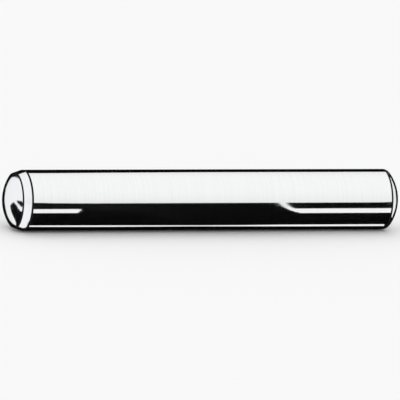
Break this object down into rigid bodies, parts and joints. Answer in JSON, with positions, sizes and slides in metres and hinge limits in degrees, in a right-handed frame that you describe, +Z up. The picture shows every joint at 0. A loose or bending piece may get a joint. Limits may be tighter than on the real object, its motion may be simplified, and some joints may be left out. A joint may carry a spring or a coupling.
{
  "type": "dowel pin",
  "caption": "Plain cylindrical dowel pin of ground steel, with crowned ends, a lead-in cone at one end and a rounded corner at the other.",
  "frame": {"origin": "middle of the pin's length, on its axis", "axes": "+X along the pin's axis, from the end with the lead-in cone towards the rounded end; +Z up as the pin lies"},
  "size_m": [0.055, 0.008, 0.008],
  "materials": {
    "steel": "hardened, shank ground and polished, ends turned"
  },
  "bodies": {
    "root": {"pin": "steel"}
  },
  "joints": []
}
